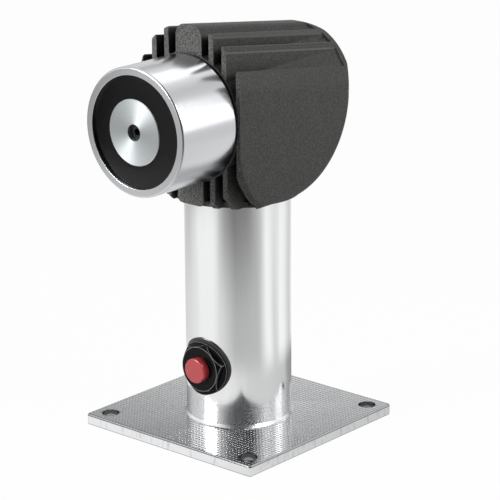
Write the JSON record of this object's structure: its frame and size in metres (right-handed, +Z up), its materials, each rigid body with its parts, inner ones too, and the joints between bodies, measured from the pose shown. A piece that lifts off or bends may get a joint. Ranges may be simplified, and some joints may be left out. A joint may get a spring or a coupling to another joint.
{
  "type": "electromagnetic door holder",
  "caption": "Electromagnetic door holder: a pot magnet in a ribbed head that turns on a floor column, with a square base plate and a red release push-button.",
  "frame": {"origin": "centre of the anchor-hole pattern, on the underside of the base plate, below the column's axis", "axes": "+Z up along the column's axis, -Y out of the magnet's holding face, X across the base plate"},
  "size_m": [0.1, 0.1163, 0.1913],
  "materials": {
    "plate_steel": "bright stainless sheet with a fine dimpled top",
    "weld_steel": "polished weld bead",
    "tube_steel": "satin stainless tube",
    "black_rubber": "matt black rubber",
    "block_plastic": "ivory moulded plastic",
    "contact_brass": "plain brass",
    "zinc_steel": "zinc-plated steel",
    "bezel_black": "glossy black plastic",
    "nut_black": "matt black nylon",
    "cap_red": "red plastic",
    "spring_steel": "spring wire",
    "lead_black": "black PVC insulation",
    "lead_red": "red PVC insulation",
    "washer_nylon": "natural nylon",
    "housing_black": "black glass-filled moulding, finely speckled",
    "screw_black": "black oxide on steel",
    "pot_steel": "turned steel, bright nickel",
    "pole_steel": "turned pole face, fine circular marks",
    "bobbin_plastic": "dark moulded plastic",
    "coil_copper": "enamelled copper wire",
    "coil_resin": "black cast resin"
  },
  "bodies": {
    "column": {"base_plate": "plate_steel", "foot_weld": "weld_steel", "column_tube": "tube_steel", "cable_grommet": "black_rubber", "terminal_block": "block_plastic", "terminal_clamps": "contact_brass", "terminal_screws": "zinc_steel", "block_screw": "zinc_steel", "button_bezel": "bezel_black", "button_seal": "black_rubber", "button_nut": "nut_black", "button_spring": "spring_steel", "switch_contacts": "contact_brass", "switch_lead": "lead_black", "thrust_washer": "washer_nylon"},
    "button": {"button_cap": "cap_red", "switch_bridge": "contact_brass"},
    "head": {"head_housing": "housing_black", "thread_insert": "contact_brass", "set_screws": "screw_black", "magnet_spacer": "black_rubber", "magnet_pot": "pot_steel", "magnet_pole": "pole_steel", "coil_bobbin": "bobbin_plastic", "coil_winding": "coil_copper", "coil_potting": "coil_resin", "pole_screw": "screw_black", "coil_lead_a": "lead_red", "coil_lead_b": "lead_black"}
  },
  "joints": [
    {"name": "head_swivel", "type": "hinge", "parent": "column", "child": "head", "pos_m": [0, 0, 0.12], "axis": [0, 0, 1], "range_deg": [-90, 90], "deforming": ["coil_lead_a", "coil_lead_b"]},
    {"name": "button_press", "type": "slide", "parent": "column", "child": "button", "axis": [0, 1, 0], "range_m": [0, 0.003], "stiffness_N_per_m": 500, "springref_m": -0.002, "deforming": ["button_spring"]}
  ]
}
